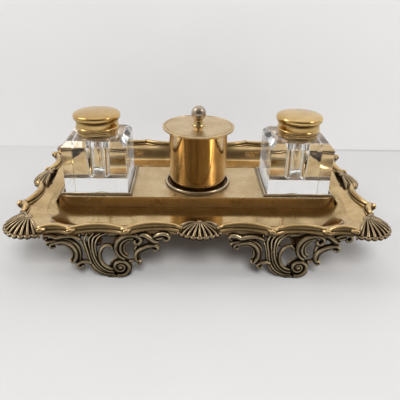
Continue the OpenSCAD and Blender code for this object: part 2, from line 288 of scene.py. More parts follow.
def skin(name, rings):
    """A skin drawn through rings of points: a grid is laid over them, one row to a ring."""
    columns, rows = len(rings[0]), len(rings)
    deselect()
    bpy.ops.mesh.primitive_grid_add(x_subdivisions=columns - 1, y_subdivisions=rows - 1, size=1)
    piece = bpy.context.object
    piece.name = name
    points = [point for ring in rings for point in ring]
    for vertex, point in zip(piece.data.vertices, points, strict=True):
        vertex.co = point
    return piece


def finished(piece, name, material, body, slot, *nodes):
    """Name a piece, give it its finish, hang it on the body that it rides, and hide the solids that it stands
    for.
    """
    piece.name = name
    piece.data.name = name
    piece.data.materials.clear()
    piece.data.materials.append(material)
    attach(piece, body)
    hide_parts(*nodes)


def brass_material(
    name, bright, dull, rough, grime_and_shade=0.0, brushed=0.0, dents=0.25, ridges=False, under=1.0, streaks=0.0
):
    """Brass: tone and polish that wander over the surface, fine scratches, and darkening in corners and near
    other parts: patina in the hollows, and painted shade.
    """
    material, tree, shader = new_material(name)
    place = node(tree, "TexCoord").outputs["Object"]
    clouds = node(tree, "TexNoise", Vector=place, Scale=55.0, Detail=5.0, Roughness=0.6).outputs["Fac"]
    specks = node(tree, "TexNoise", Vector=place, Scale=420.0, Detail=4.0, Roughness=0.65).outputs["Fac"]
    colour = ramp(tree, clouds, {0.36: dull, 0.62: bright})
    colour = scaled(tree, colour, remap(tree, specks, 0.3, 0.7, 0.9, 1.05))
    roughness = remap(tree, clouds, 0.3, 0.7, rough * 1.45, rough * 0.75)
    if streaks:
        # Tarnish runs down the wall in soft upright bands
        drawn_out = node(tree, "Mapping", {"vector_type": "POINT"}, Vector=place, Scale=(85, 85, 6))
        drawn_out = drawn_out.outputs["Vector"]
        bands = node(tree, "TexNoise", Vector=drawn_out, Scale=1.0, Detail=3.0, Roughness=0.6)
        colour = scaled(tree, colour, remap(tree, bands.outputs["Fac"], 0.42, 0.56, 1 - streaks, 1.0))
    if grime_and_shade:
        # Painted shade, and patina in the hollows: the colour is darkened where other surfaces are near, in
        # corners and recesses, under the rim or a lid, and where parts meet
        reach = (3.5 if ridges else 5) * mm
        clean_and_lit = node(tree, "AmbientOcclusion", {"samples": 6}, Distance=reach).outputs["AO"]
        if ridges:
            # Rubbed ridges stay bright, hollows go dark
            raised_share = node(tree, "NewGeometry").outputs["Pointiness"]
            clean_and_lit = maths(tree, "MULTIPLY", clean_and_lit, remap(tree, raised_share, 0.47, 0.54, 0.1, 1.15))
        if under < 1:
            # Painted shade: faces that turn downwards are darkened, as if lit from above, and the tops are
            # kept bright
            facing = node(tree, "SeparateXYZ", Vector=node(tree, "NewGeometry").outputs["Normal"])
            clean_and_lit = maths(tree, "MULTIPLY", clean_and_lit, remap(tree, facing.outputs["Z"], -0.4, 0.75, under, 1.1))
        grime_and_shade_tone = (1 - grime_and_shade, (1 - grime_and_shade) * 0.86, (1 - grime_and_shade) * 0.8)
        colour = blended(tree, 1.0, colour, ramp(tree, clean_and_lit, {0.30: grime_and_shade_tone, 0.85: (1, 1, 1)}), "MULTIPLY")
        roughness = maths(tree, "ADD", roughness, remap(tree, clean_and_lit, 0.3, 0.9, 0.34, 0.0))
    feed(shader.inputs["Base Color"], colour)
    feed(shader.inputs["Roughness"], roughness)
    # Wiping marks run along the tray; a brushed finish has more of them
    drawn_along = node(tree, "Mapping", {"vector_type": "POINT"}, Vector=place, Scale=(60, 1500, 1500))
    marks = node(tree, "TexNoise", Vector=drawn_along.outputs["Vector"], Scale=1.0, Detail=2.0)
    scratched = node(
        tree, "Bump", Height=marks.outputs["Fac"], Strength=0.05 + brushed, Distance=0.05 * mm
    )
    ripple = node(tree, "TexNoise", Vector=place, Scale=95.0, Detail=2.0)
    waved = node(
        tree, "Bump", Height=ripple.outputs["Fac"], Normal=scratched.outputs["Normal"], Strength=dents,
        Distance=0.3 * mm,
    )
    feed(shader.inputs["Normal"], waved.outputs["Normal"])
    shader.inputs["Metallic"].default_value = 1.0
    return material


dish_brass = brass_material(
    "dish brass", (0.80, 0.58, 0.30), (0.58, 0.40, 0.19), 0.12, grime_and_shade=0.5, dents=0.12, under=0.2
)
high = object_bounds()[1]
shell_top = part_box("shell_front")[1].z
platform_low, platform_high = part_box("platform")
platform_z = platform_high.z
floor_z = platform_low.z
flange_z = platform_z + 2 * mm
sheet = 2 * mm
half_l, half_w = high.x, high.y

# The outline follows the same points as the solid: shells at the middles and the corners, and
# points between them where two lengths of moulding meet
corner_r, front_r, end_r = 18 * mm, 14 * mm, 12.5 * mm
side_x, front_y = half_l - 7.5 * mm, half_w - 8 * mm
front_root = Vector((0, -(half_w - front_r)))
end_root = Vector((half_l - end_r, 0))
corner_root = Vector((half_l - 19.5 * mm, -(half_w - 19 * mm)))
corner_from, corner_to = -124, 49


def polar(radius, degrees):
    return Vector((math.cos(math.radians(degrees)), math.sin(math.radians(degrees)))) * radius


def pulled_in(a, b, sag, steps):
    """Points from a to b on a curve that pulls in, to the left of the line, by sag."""
    side = Vector((a.y - b.y, b.x - a.x)).normalized()
    return [a.lerp(b, i / steps) + side * 4 * sag * (i / steps) * (1 - i / steps) for i in range(steps)]


front_start = Vector((front_r + 0.3 * mm, -front_y - 0.5 * mm))
front_cusps = [Vector((51 * mm, -front_y - 5 * mm)), Vector((89.5 * mm, -front_y - 5 * mm))]
corner_a = corner_root + polar(corner_r, corner_from)
corner_b = corner_root + polar(corner_r, corner_to)
side_cusp = Vector((side_x + 4.5 * mm, -50 * mm))
side_end = Vector((side_x + 1 * mm, -end_r - 0.5 * mm))
front_arcs = [
    (front_start, front_cusps[0], 5.5 * mm, 16),
    (front_cusps[0], front_cusps[1], 5.5 * mm, 16),
    (front_cusps[1], corner_a, 3.5 * mm, 10),
]
side_arcs = [(corner_b, side_cusp, 2 * mm, 6), (side_cusp, side_end, 5.4 * mm, 14)]
front_edge = [p for a in front_arcs for p in pulled_in(*a)] + [corner_a]
side_edge = [p for a in side_arcs for p in pulled_in(*a)] + [side_end]
corner_edge = [corner_root + polar(13 * mm, a) for a in range(corner_from + 24, corner_to - 23, 12)]
quarter = front_edge + corner_edge + side_edge
front_half = [Vector((-p.x, p.y)) for p in reversed(quarter)] + quarter
outline = front_half + [Vector((p.x, -p.y)) for p in reversed(front_half)]


def inset(points, distance, closed=True):
    """The same line moved inwards along the normal of each point."""
    moved, count = [], len(points)
    for i, p in enumerate(points):
        before = points[i - 1] if closed else points[max(i - 1, 0)]
        after = points[(i + 1) % count] if closed else points[min(i + 1, count - 1)]
        t = (after - before).normalized()
        moved.append(p + Vector((-t.y, t.x)) * distance)
    return moved


UP = Vector((0, 0, 1))
turn_half = Vector((128 * mm, 80.5 * mm))
plain_half = Vector((125.5 * mm, 79 * mm))
trough_half = Vector((102 * mm, 70 * mm))
window_half = Vector((98 * mm, 27 * mm))


def bearing(p):
    return math.atan2(p.x, -p.y)


def rounded_oblong(directions, half, power):
    """The points of a rounded oblong that lie in the given directions from the middle."""
    return [
        p / ((abs(p.x) / half.x) ** power + (abs(p.y) / half.y) ** power) ** (1 / power) for p in directions
    ]


def within(number, limit):
    return max(-limit, min(limit, number))


flange_edge = sorted(inset(outline, 0.8 * mm), key=bearing)
turn_line = [Vector((within(p.x, turn_half.x), within(p.y, turn_half.y))) for p in inset(outline, 6.2 * mm)]
turn_line.sort(key=bearing)
for _ in range(2):
    before, after = turn_line[-1:] + turn_line[:-1], turn_line[1:] + turn_line[:1]
    turn_line = [(a + b * 2 + c) / 4 for a, b, c in zip(before, turn_line, after)]
mid_flange = [a.lerp(b, 0.5) for a, b in zip(flange_edge, turn_line)]
# The waves of the edge die out on the way down to a plain rounded oblong
plain_line = rounded_oblong(turn_line, plain_half, 9)
trough_line = rounded_oblong(turn_line, trough_half, 6)
window_line = [p / max(abs(p.x) / window_half.x, abs(p.y) / window_half.y) for p in turn_line]
# Section of the shoulder: share of the way from the flange to the trough, and drop in millimetres
shoulder = [
    (0, 0), (0.08, 0.2), (0.16, 0.55), (0.26, 1.05), (0.36, 1.75), (0.45, 2.7), (0.53, 3.8), (0.60, 5.0),
    (0.67, 6.2), (0.74, 7.4), (0.81, 8.5), (0.88, 9.45), (0.95, 10.2), (1.02, 10.7), (1.1, 11.0), (1.2, 11.2),
]


def raised(points, z):
    """The points at height z, with the first one again at the end."""
    return [Vector((p.x, p.y, z)) for p in points + points[:1]]


def shoulder_ring(share, drop):
    """One ring of the shoulder; the drop is stretched so that the last one meets the trough floor."""
    calm = min(1.0, share / 0.4)
    line = [a.lerp(c, calm).lerp(b, share) for a, b, c in zip(turn_line, trough_line, plain_line)]
    return raised(line, flange_z - drop * mm * (flange_z - floor_z) / (shoulder[-1][1] * mm))


trough_floor = [p * 0.7 + w * 0.3 for p, w in zip(trough_line, window_line)]
face = [raised(flange_edge, flange_z), raised(mid_flange, flange_z)]
face += [shoulder_ring(*s) for s in shoulder]
face += [raised(trough_floor, floor_z), raised(window_line, floor_z)]
dish = skin("dish", face + [[p - UP * sheet for p in ring] for ring in reversed(face)] + face[:1])
seal(dish)
finished(dish, "tray_dish_sheet", dish_brass, "tray", "polished_brass", "tray_dish")

# ---------------------------------------------------------------------------------------------
# The platform: a satin brass plate with a rounded front and back edge and a step down to each
# trough. Its ends run into the shoulders of the tray. It is open underneath.
# ---------------------------------------------------------------------------------------------
satin_brass = brass_material(
    "satin brass", (0.76, 0.58, 0.34), (0.66, 0.48, 0.26), 0.28, grime_and_shade=0.35, brushed=0.12, dents=0.05
)
platform_end = platform_high.x
platform_half = platform_high.y
plate_sheet, plate_corner = 1.2 * mm, 10 * mm
dip_length, dip_depth = 5 * mm, 2.4 * mm
# Section of a long edge, from the top over the round and down the step: distance from the
# middle line and drop
step_section = [
    (platform_half - 3.0 * mm, 0), (platform_half - 1.3 * mm, 0), (platform_half - 0.7 * mm, 0.1 * mm),
    (platform_half - 0.25 * mm, 0.4 * mm), (platform_half - 0.05 * mm, 0.85 * mm), (platform_half, 1.4 * mm),
    (platform_half, 8.0 * mm), (platform_half, 9.2 * mm),
]


def end_rise(x):
    """How much the foot of the step has risen at x, as the tray's end slopes up under it."""
    share = max(0.0, min(1.0, (abs(x) - trough_half.x) / (platform_end + 3 * mm - trough_half.x)))
    return (platform_z - floor_z) * share ** 1.6


def corner_round(x):
    """How far the long edges draw in at x, round the corners of the platform."""
    into = max(0.0, (abs(x) - platform_end + plate_corner) / plate_corner)
    return plate_corner * (1 - math.sqrt(max(0.0, 1 - into * into)))


def end_dip(x):
    """How far the plate's end is turned down at x."""
    into = max(0.0, (abs(x) - platform_end + dip_length) / dip_length)
    return dip_depth * into * into


def upper_point(x, y, drop):
    """A point of the outer skin, drawn in, raised and turned down where it nears the ends."""
    drawn_in = math.copysign(corner_round(x), y) if y else 0
    return Vector((x, y - drawn_in, max(platform_z - drop, floor_z + end_rise(x)) - end_dip(x)))


def lower_point(p, y, drop):
    """The point of the inner skin behind point p of the outer one."""
    moved_in = math.copysign(plate_sheet, y) if abs(y) > 10 * mm else 0
    return Vector((p.x, p.y - moved_in, p.z - plate_sheet if drop < mm else p.z))


end_steps = (0, 0.4, 0.9, 1.5, 2.2, 3, 4, 5.2, 6.6, 8.2, 10, 14, 21, 60)
left_x = [-platform_end + d * mm for d in end_steps]
platform_x = left_x + [0] + [-x for x in reversed(left_x)]
whole_section = [(-y, drop) for y, drop in reversed(step_section)] + [(0, 0)] + step_section
upper = [[upper_point(x, y, drop) for x in platform_x] for y, drop in whole_section]
lower = [[lower_point(p, y, drop) for p in row] for row, (y, drop) in zip(upper, whole_section)]
step = skin("step", upper + lower[::-1] + upper[:1])
seal(step)
finished(step, "platform_plate", satin_brass, "tray", "satin_brass", "platform")

# ---------------------------------------------------------------------------------------------
# The rim: cast mouldings soldered on the flange. Each pulled-in length is one fat round bead that
# ends in a curl inside the next, with a leaf tip over the joint. A fine lip runs along the outer
# edge and a fine fillet along the inner.
# ---------------------------------------------------------------------------------------------
rim_brass = brass_material(
    "rim brass", (0.92, 0.65, 0.31), (0.70, 0.48, 0.22), 0.13, grime_and_shade=0.9, dents=0.2, ridges=True, under=0.32
)


def flow(points, steps=5):
    """A smooth line through given points."""
    ends = [points[0] * 2 - points[1]] + list(points) + [points[-1] * 2 - points[-2]]
    line = []
    for a, b, c, d in zip(ends, ends[1:], ends[2:], ends[3:]):
        bend, twist = 2 * a - 5 * b + 4 * c - d, 3 * b - a - 3 * c + d
        for i in range(steps):
            t = i / steps
            line.append(0.5 * ((2 * b) + (c - a) * t + bend * t * t + twist * t**3))
    return line + [points[-1]]


def tube(path, widths, heights, out, sides=10):
    """A rod drawn along a path, oval in section, with a size of its own at every point."""
    angles = [2 * math.pi * i / sides for i in range(sides)] + [0.0]
    rings = [[path[0]] * (sides + 1)]
    for i, point in enumerate(path):
        ahead = path[min(i + 1, len(path) - 1)] - path[max(i - 1, 0)]
        across = ahead.cross(out).normalized()
        wide, tall = across * widths[i], out * heights[i]
        rings.append([point + wide * math.cos(a) + tall * math.sin(a) for a in angles])
    rings.append([path[-1]] * (sides + 1))
    rod = skin("rod", rings)
    seal(rod)
    return rod


def tapered(count, start, middle, end, power=0.6):
    """Sizes along a rod that swell from start to middle and thin again to end."""
    sizes = []
    for i in range(count):
        s = i / (count - 1)
        swell = math.sin(math.pi * s) ** power
        sizes.append((start * (1 - s) + end * s) * (1 - swell) + middle * swell)
    return sizes


def bead(path, widths, heights, power=0.6, sides=10):
    """A lying rod that swells: half widths and half heights at its start, middle and end, in mm."""
    wide, tall = (tapered(len(path), *(n * mm for n in three), power) for three in (widths, heights))
    return tube(path, wide, tall, UP, sides)


def joined(parts):
    deselect()
    for part in parts:
        part.select_set(True)
    bpy.context.view_layer.objects.active = parts[0]
    bpy.ops.object.join()
    return parts[0]


def worked(piece, kind, **settings):
    """Apply one modifier to the piece."""
    alone(piece)
    tool = piece.modifiers.new("tool", kind)
    for key, value in settings.items():
        setattr(tool, key, value)
    bpy.ops.object.modifier_apply(modifier="tool")


def cast(parts, grain):
    """Fuse overlapping forms into one skin, as in a casting, and ease its edges."""
    piece = joined(parts)
    worked(piece, "REMESH", mode="VOXEL", voxel_size=grain)
    worked(piece, "SMOOTH", factor=0.5, iterations=1)
    bpy.ops.object.shade_smooth()
    return piece


def copied(piece, place):
    """A copy with its own mesh, put in place and with its faces outwards."""
    alone(piece)
    bpy.ops.object.duplicate(linked=False)
    twin = bpy.context.object
    twin.matrix_world = place
    bpy.ops.object.transform_apply()
    open_mesh()
    bpy.ops.mesh.normals_make_consistent(inside=False)
    close_mesh()
    return twin


def thrown_away(piece):
    alone(piece)
    bpy.ops.object.delete()


def at_height(points, z):
    return [Vector((p.x, p.y, z)) for p in points]


def ball(at, size, segments=14):
    """An oval knob of half sizes size."""
    deselect()
    bpy.ops.mesh.primitive_uv_sphere_add(segments=segments, ring_count=9, radius=1)
    knob = bpy.context.object
    knob.matrix_world = Matrix.Translation(at) @ Matrix.Diagonal((*size, 1))
    bpy.ops.object.transform_apply()
    return knob


def moulding(edge, arcs, leaf_half):
    """One length of rim, fused: its base, lip and fillet, its beads, and a leaf tip over each joint."""
    parts = []
    # Base, outer lip and inner fillet: distance in from the edge, rise, half width, half height
    for inwards, rise, half_wide, half_high, sides in (
        (3.0, 0.2, 2.6, 0.7, 10), (0.6, -0.6, 0.6, 1.5, 8), (5.7, 0.35, 0.6, 0.7, 8),
    ):
        line = at_height(inset(edge, inwards * mm, False), flange_z + rise * mm)
        parts.append(tube(line, [half_wide * mm] * len(line), [half_high * mm] * len(line), UP, sides))
    for a, b, sag, _ in arcs:
        # A bead starts outside the one before it and ends in a curl inside the next
        along = (b - a).normalized()
        inward = Vector((-along.y, along.x))
        line = inset(pulled_in(a, b, sag, 14) + [b], 3.1 * mm, False)
        line = [a - along * 2.4 * mm + inward * 0.8 * mm] + line[1:-1]
        line += [b + along * 1.0 * mm + inward * 3.6 * mm, b + along * 3.6 * mm + inward * 5.6 * mm]
        line = flow(at_height(line, flange_z + 1.5 * mm), 2)
        parts.append(bead(line, (0.9, 2.55, 0.8), (1.3, 3.0, 1.0), 0.55, 14))
        leaf = [
            b - along * 4.2 * mm + inward * 3.4 * mm, b - along * 1.6 * mm + inward * 2.2 * mm,
            b + inward * 1.0 * mm, b + along * 1.3 * mm - inward * 0.2 * mm,
        ]
        leaf = flow(at_height(leaf, flange_z + 1.3 * mm), 3)
        parts.append(bead(leaf, (0.5, leaf_half, 0.4), (0.8, leaf_half * 1.1, 0.8), 0.7, 10))
    return cast(parts, 0.38 * mm)


front_length = moulding(front_edge, front_arcs, 1.8)
side_length = moulding(side_edge, side_arcs, 2.5)
mirror_x, mirror_y = Matrix.Diagonal((-1, 1, 1, 1)), Matrix.Diagonal((1, -1, 1, 1))
quarters = {
    "front_right": Matrix.Identity(4),
    "front_left": mirror_x,
    "back_right": mirror_y,
    "back_left": mirror_x @ mirror_y,
}
for place, turned_to in quarters.items():
    front, side = place.split("_")
    for length, way in ((front_length, place), (side_length, f"{side}_{front}")):
        piece = copied(length, turned_to)
        finished(piece, f"rim_moulding_{way}", rim_brass, "tray", "polished_brass", f"rim_{way}")
thrown_away(front_length)
thrown_away(side_length)

# ---------------------------------------------------------------------------------------------
# The shells: cast scallops that cover the corners and the middles of the rim. Thin ribs spread
# from a small scroll at the root over a hollow fan that droops outwards to a lobed, rolled edge.
# ---------------------------------------------------------------------------------------------
shell_brass = brass_material(
    "shell brass", (0.60, 0.46, 0.27), (0.40, 0.29, 0.17), 0.24, grime_and_shade=0.965, dents=0.35, ridges=True,
    under=0.3,
)


def scallop(root, radius, first, last, ribs, fall, wide, proud):
    """A shell: a drooping fan, a thin rib along each ray, a rolled edge of lobes, and a root scroll."""
    step = (last - first) / ribs
    top = shell_top + (proud - 0.6) * mm
    middle = (first + last) / 2
    mid_ray, cross_ray = polar(1, middle), polar(1, middle + 90)

    def spot(share, angle, lift=0.0):
        """A place on the shell: share of the way out along a ray, raised by lift."""
        ray = polar(radius * share, angle)
        flat = root + mid_ray * ray.dot(mid_ray) + cross_ray * ray.dot(cross_ray) * wide
        return Vector((flat.x, flat.y, top - fall * share ** 2.2 + lift * mm))

    # The fan goes out along its face and comes back underneath
    fan = []
    for share, lift in (
        (0.06, -1.5), (0.3, -1.5), (0.55, -1.5), (0.8, -1.5), (0.93, -1.5),
        (0.93, -2.8), (0.5, -2.8), (0.06, -2.8),
    ):
        ring = []
        for i in range(ribs * 4 + 1):
            angle = first + i * step / 4
            lobe = 0.95 + 0.05 * abs(math.sin(math.radians((angle - first) / step * 180)))
            ring.append(spot(share * lobe, angle, lift))
        fan.append(ring)
    plate = skin("plate", fan + fan[:1])
    alone(plate)
    open_mesh()
    bpy.ops.mesh.remove_doubles(threshold=1e-6)
    bpy.ops.mesh.select_all(action="DESELECT")
    bpy.ops.mesh.select_non_manifold()
    bpy.ops.mesh.fill()
    close_mesh()
    seal(plate)
    parts = [plate]
    spread = radius * math.radians(abs(step)) * wide
    for i in range(ribs):
        angle = first + (i + 0.5) * step
        rib = [spot(0.1 + 0.8 * j / 8, angle, -0.75) for j in range(9)]
        widths = [spread * (0.07 + 0.17 * j / 8) for j in range(9)]
        parts.append(tube(rib, widths, [1.0 * mm] * 9, UP, 10))
        # Each lobe of the edge is rolled over between its neighbours
        lobe_line = (
            (0.86, -0.42, -1.2), (0.92, -0.24, -0.9), (0.935, 0.0, -0.8), (0.92, 0.24, -0.9),
            (0.86, 0.42, -1.2),
        )
        lobe = flow([spot(share, angle + step * turn, lift) for share, turn, lift in lobe_line], 3)
        parts.append(bead(lobe, (0.5, 0.8, 0.5), (0.6, 1.0, 0.6), sides=8))
    parts.append(ball(spot(0.02, middle, -0.7), (radius * 0.15, radius * 0.15, 1.5 * mm)))
    # A scroll at each side of the root leads into the rim
    for side in (first, last):
        curl_line = ((0.98, -1.4), (0.75, -0.5), (0.45, -0.4), (0.2, -0.6))
        curl = flow([spot(share, side, lift) for share, lift in curl_line], 4)
        parts.append(bead(curl, (0.9, 1.3, 0.6), (1.0, 1.5, 0.8)))
    return cast(parts, 0.32 * mm)


def finished_shell(shell, way):
    finished(shell, f"scallop_{way}", shell_brass, "tray", "patinated_brass", f"shell_{way}")


corner_scallop = scallop(corner_root, corner_r + 1.2 * mm, corner_from, corner_to, 11, 7.5 * mm, 1.0, 1.6)
for place, turned_to in quarters.items():
    finished_shell(copied(corner_scallop, turned_to), place)
thrown_away(corner_scallop)
half_turn = Matrix.Rotation(math.pi, 4, "Z")
front_scallop = scallop(front_root, front_r - 0.1 * mm, -178, -2, 11, 6.5 * mm, 1.3, 0.6)
end_scallop = scallop(end_root - Vector((2.8 * mm, 0)), end_r + 2.7 * mm, -88, 88, 9, 7.0 * mm, 1.28, 1.8)
for shell, way, opposite in ((front_scallop, "front", "back"), (end_scallop, "right", "left")):
    finished_shell(copied(shell, half_turn), opposite)
    finished_shell(shell, way)

# ---------------------------------------------------------------------------------------------
# The feet: one pierced rococo casting used four times. Long ribs sweep down the left into a
# fluted toe and a volute, and C-scrolls and leaves spread to both sides. Two lugs behind take
# the screws.
# ---------------------------------------------------------------------------------------------
aged_brass = brass_material(
    "aged cast brass", (0.88, 0.70, 0.44), (0.62, 0.48, 0.29), 0.19, grime_and_shade=0.97, dents=0.3, ridges=True,
    under=0.3,
)
foot_low, foot_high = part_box("foot_front_right")
foot_x = (foot_low.x + foot_high.x) / 2
foot_back_y = -foot_low.y - 5 * mm
FRONT = Vector((0, -1, 0))


def on_foot(points, forward=2.4):
    """Places on the face of the foot: across, height, and an even distance in front of its back."""
    return [Vector((u * mm, -foot_back_y - forward * mm, z * mm)) for u, z in points]


def ridge(points, start, middle, end, forward=2.2, depth=1.55, steps=4):
    """A swelling ridge through listed places, standing out from the foot by its depth."""
    line = flow(on_foot(points, forward), steps)
    widths = tapered(len(line), start * mm, middle * mm, end * mm, 0.5)
    return tube(line, widths, [w * depth for w in widths], FRONT, 10)


def volute(centre, r_from, r_to, a_from, turns, width, forward):
    """A spiral ridge that winds in to its eye."""
    steps = int(22 * turns)
    points = []
    for i in range(steps + 1):
        s = i / steps
        angle = math.radians(a_from + 360 * turns * s)
        radius = r_from * (r_to / r_from) ** s
        points.append((centre[0] + radius * math.cos(angle), centre[1] + radius * math.sin(angle)))
    line = on_foot(points, forward)
    widths = [width * mm * (1 - 0.45 * i / steps) for i in range(steps + 1)]
    return tube(line, widths, [w * 1.25 for w in widths], FRONT, 8)


foot_parts = [
    # Long ribs, from the leaf tips behind the rim down to the toe
    ridge(
        [
            (-19.5, 37.6), (-19.4, 33), (-17.2, 27), (-15.8, 20), (-14.4, 13), (-11.4, 7), (-6.4, 3.0),
            (1, 1.9),
        ],
        0.3, 1.05, 0.8,
    ),
    ridge(
        [(-13.6, 37.8), (-16.2, 32), (-14.8, 23), (-13.2, 14.5), (-9.8, 7.8), (-4.4, 4.0), (3, 2.4)],
        0.3, 1.0, 0.7, 2.4,
    ),
    ridge(
        [(-9, 38), (-13, 32.4), (-12.6, 24), (-11.2, 15.6), (-8, 8.8), (-3, 5.0), (3, 3.6)],
        0.3, 0.95, 0.7,
    ),
    ridge(
        [(-4, 38.3), (-9.6, 34), (-10.9, 26.4), (-9.8, 17.6), (-6.8, 10.6), (-2, 6.2), (3, 4.8)],
        0.3, 1.05, 0.7, 2.5,
    ),
    ridge(
        [(0.6, 38), (-5.8, 34.9), (-8.9, 28.4), (-8.6, 20), (-6.4, 12.6), (-2, 7.6), (2.4, 6.2)],
        0.3, 0.95, 0.7,
    ),
    # Flutes of the leaf that wraps the toe
    ridge([(-13.6, 8.6), (-11.0, 8.4), (-8.4, 6.4)], 0.5, 0.9, 0.5, 2.0),
    ridge([(-11.0, 5.6), (-8.6, 5.6), (-6.2, 4.4)], 0.5, 0.9, 0.5, 2.0),
    ridge([(-7.4, 3.0), (-5.4, 3.6), (-3.2, 3.2)], 0.5, 0.9, 0.5, 2.0),
    ridge([(-3.2, 1.8), (-1.6, 2.8), (0.6, 2.8)], 0.5, 0.9, 0.5, 2.0),
    # Inner scroll round the large opening
    ridge(
        [
            (3.6, 26.0), (0.8, 28.2), (-3.2, 26.8), (-5.8, 22), (-6.2, 16.4), (-4.4, 11.6), (-0.8, 8.4),
            (2.6, 7.2),
        ],
        1.4, 1.5, 0.9, 2.4, 1.3,
    ),
    ball(on_foot([(3.4, 26.0)], 2.8)[0], (1.9 * mm, 1.7 * mm, 1.8 * mm)),
    # Web behind the ribs and round the toe
    ridge(
        [(-8, 36.5), (-12, 29), (-12, 20), (-10, 12.5), (-6, 7), (0, 3.9), (5, 3.4)],
        1.5, 4.2, 2.4, 0.9, 0.2,
    ),
    # Volute, its eye, and the disc behind it
    volute((8.2, 9.4), 7.7, 1.5, -110, 2.1, 1.65, 3.0),
    ball(on_foot([(8.2, 9.4)], 3.2)[0], (2.1 * mm, 1.8 * mm, 2.1 * mm)),
    ball(on_foot([(8.2, 9.2)], 1.4)[0], (8.6 * mm, 1.3 * mm, 8.6 * mm), segments=28),
    # Round sole of the toe
    ridge(
        [(-7.4, 5.2), (-4.4, 2.4), (0, 1.3), (5, 1.05), (9.6, 1.3), (13.4, 2.8), (15.8, 5.6)],
        0.5, 0.85, 0.5, 2.2, 2.0,
    ),
    # Upper scroll with its curl, and the fluting inside it
    ridge(
        [
            (11.5, 16.6), (7.2, 20.4), (5.8, 26), (7.6, 32), (12, 36), (17.6, 37.4), (22.4, 36),
            (24, 32.8), (22.2, 30.2), (19.6, 31), (19.8, 33.4),
        ],
        1.1, 2.06, 1, 3.0,
    ),
    ridge([(13.6, 18), (10, 21.6), (9, 26.4), (10.6, 31.2), (14.4, 34), (18.6, 34)], 0.8, 1.53, 0.8, 3.0),
    ridge([(14.6, 19.4), (12, 22.4), (11.4, 26.6), (13, 30.6), (16, 32)], 0.69, 1.18, 0.69, 2.6),
    ridge([(12, 18.4), (8.8, 22), (8, 27), (10, 32), (14, 35)], 1.4, 3.3, 1.4, 1.2, 0.35),
    # Right arm: a scroll that springs from the volute, with a curl at each end
    ridge(
        [
            (19.6, 13), (22.4, 13.2), (22.6, 15.4), (20.2, 16), (19.6, 19.6), (21, 23.6), (25, 26.8),
            (30, 28.4), (34, 28.6), (35.8, 26.2), (34, 24.4), (32.4, 25.6),
        ],
        1, 1.77, 1, 3.2,
    ),
    ridge([(21.8, 16.4), (22, 20), (24, 23.4), (28, 25.6), (32, 26.2)], 0.69, 1.3, 0.69, 2.7),
    ridge([(14.4, 14.4), (18.4, 15.2), (20, 18), (19.4, 24), (20.6, 28.6)], 1.1, 1.53, 1, 2.0),
    # Right leaves under the rim
    ridge([(21, 36.6), (26, 37.4), (30, 34.8), (33, 32.2), (36.6, 31.6)], 1.1, 2.24, 0.57, 3.0),
    ridge([(23, 34.4), (27, 34.8), (30.6, 31.8), (33.4, 29)], 0.92, 1.53, 0.92, 2.4),
    ridge(
        [(31.4, 34.6), (35.4, 37.2), (39.4, 38.2), (43, 37), (43.6, 34), (41.2, 32.8), (40, 34.6)],
        0.8, 1.77, 0.92, 3.0,
    ),
    ridge([(33, 33.6), (37.4, 34.6), (40, 35.4)], 0.69, 1.53, 0.92, 2.6),
    # Left scroll, open downwards, with its second ridge
    ridge(
        [
            (-36.8, 26.4), (-39.6, 26.8), (-39.4, 29.4), (-35.6, 31), (-30.6, 31.6), (-25.6, 29.2),
            (-22.6, 24.4), (-22.4, 19), (-24.4, 15), (-26.6, 14.8), (-26.4, 16.8),
        ],
        1, 1.89, 0.92, 3.2,
    ),
    ridge([(-35.6, 28.2), (-30.6, 28.8), (-26.8, 26.4), (-25.2, 21.6), (-25.8, 17.4)], 0.69, 1.3, 0.69, 2.7),
    ridge([(-31, 33.4), (-26, 32), (-21.4, 27.6), (-19.9, 21.4), (-20.4, 15)], 0.92, 1.53, 1.1, 2.4),
    ridge([(-27, 31), (-23, 27), (-21.2, 21.4), (-22.2, 16)], 1.1, 2.24, 1.1, 1.2, 0.45),
    # Left leaves under the rim
    ridge(
        [
            (-18.6, 33), (-24, 36), (-30, 36), (-35, 35), (-39.4, 36.8), (-43, 36.6), (-43.4, 34.2),
            (-41.4, 33.4),
        ],
        1, 2.01, 0.92, 3.0,
    ),
    ridge(
        [(-28, 33.6), (-33.6, 32.8), (-38.2, 31.6), (-41.6, 31.2), (-42, 29.2), (-40.2, 28.6)],
        0.92, 1.65, 0.8, 2.9,
    ),
    # Small curl at the left of the ribs
    ridge(
        [(-12.4, 13.4), (-16.4, 14.4), (-20, 14), (-22.2, 12), (-21.2, 10), (-19.2, 10.2), (-19.2, 11.8)],
        1.1, 1.65, 0.92, 3.0,
    ),
    # Rail behind the leaves
    ridge([(-40, 35.4), (-20, 35.8), (0, 35.8), (20, 35.8), (41, 35.4)], 1.2, 1.6, 1.2, 1.1, 0.55, 8),
]


def block(low, high_corner, round_by):
    """A rectangular block with its edges eased."""
    deselect()
    size = [b - a for a, b in zip(low, high_corner)]
    bpy.ops.mesh.primitive_cube_add(size=1, location=[(a + b) / 2 for a, b in zip(low, high_corner)])
    made = bpy.context.object
    made.scale = size
    bpy.ops.object.transform_apply()
    open_mesh()
    bpy.ops.mesh.bevel(offset=round_by, segments=2)
    close_mesh()
    return made


under_z = floor_z - sheet
lug_h = 2.6 * mm
screw_y = 61.5 * mm
lug_places = (-9.5 * mm, 7 * mm)
